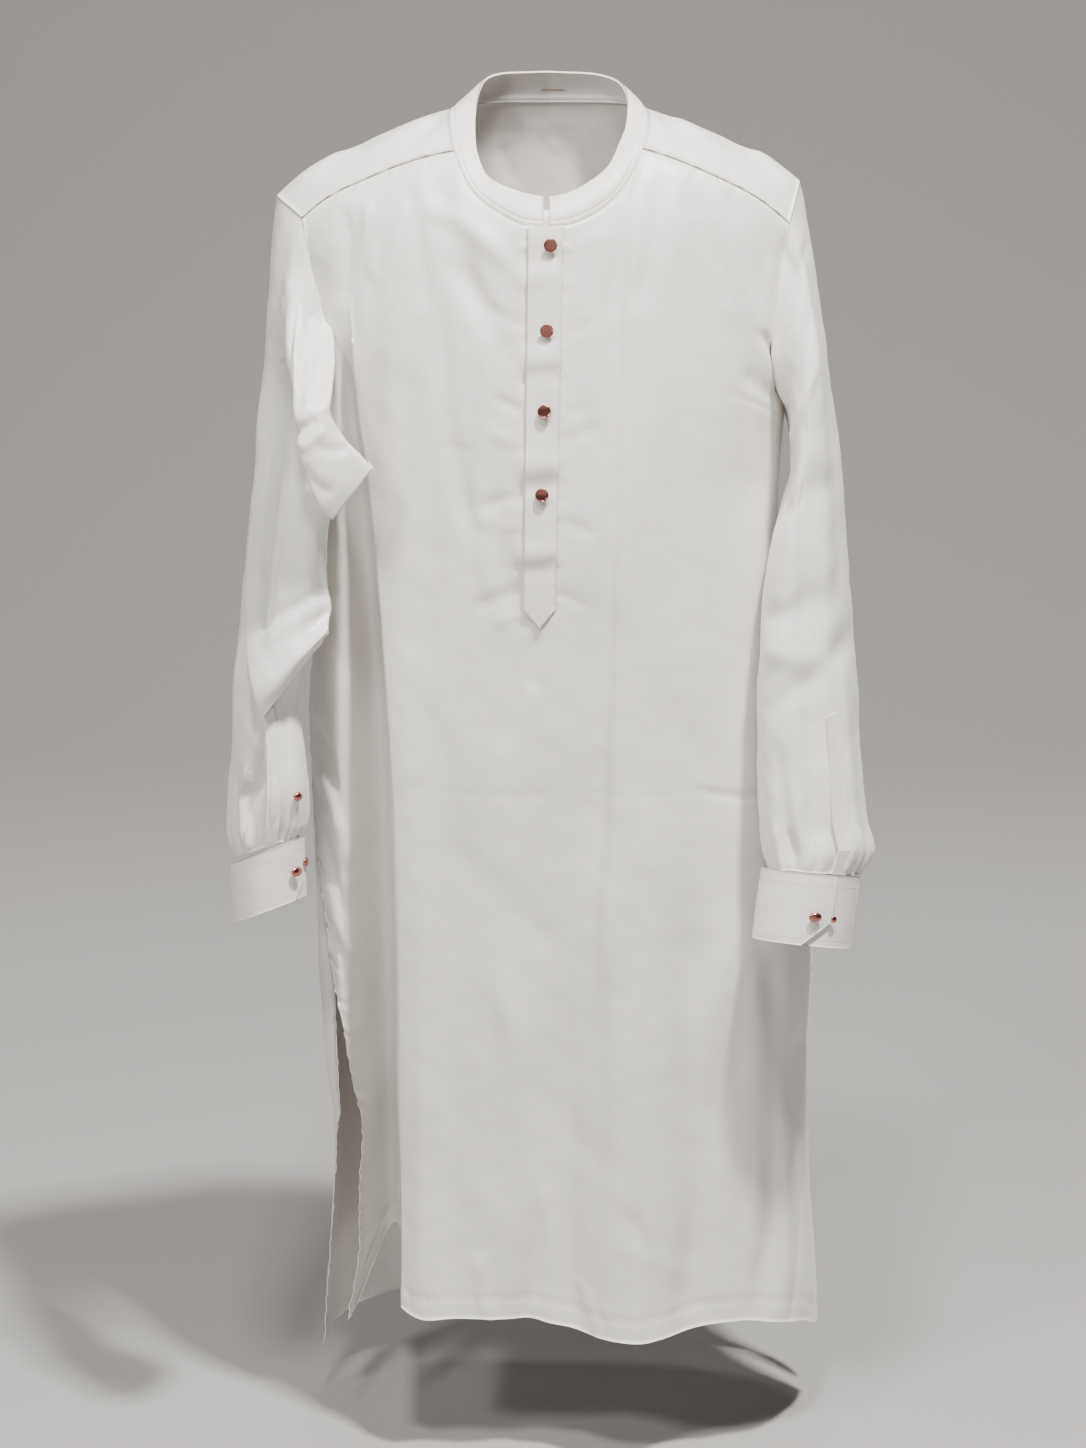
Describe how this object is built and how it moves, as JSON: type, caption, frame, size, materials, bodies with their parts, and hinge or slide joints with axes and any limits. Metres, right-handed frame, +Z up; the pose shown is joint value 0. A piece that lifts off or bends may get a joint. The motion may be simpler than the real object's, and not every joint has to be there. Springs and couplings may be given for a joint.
{
  "type": "long kurta shirt",
  "caption": "Long white kurta with a band collar, shoulder yoke, buttoned half placket, cuffed long sleeves and open side slits.",
  "frame": {"origin": "on the centre plane, level with the neck side of the shoulder line, in the middle of the neck opening front to back: the place where the wearer's neck and shoulders hold the garment up", "axes": "+Z up the garment, the front faces -Y, +X towards the wearer's left arm"},
  "size_m": [0.555, 0.2852, 1.1547],
  "materials": {
    "cloth": "off-white satin-weave cotton, soft sheen",
    "fittings": "polished rose-coloured metal"
  },
  "bodies": {
    "root": {"front": "cloth", "back": "cloth", "yoke": "cloth", "collar": "cloth", "placket": "cloth", "sleeve_left": "cloth", "sleeve_right": "cloth", "cuff_left": "cloth", "cuff_right": "cloth", "sleeve_placket_left": "cloth", "sleeve_placket_right": "cloth", "button_1": "fittings", "button_2": "fittings", "button_3": "fittings", "button_4": "fittings", "cufflink_left": "fittings", "cufflink_right": "fittings", "sleeve_button": "fittings"}
  },
  "joints": []
}
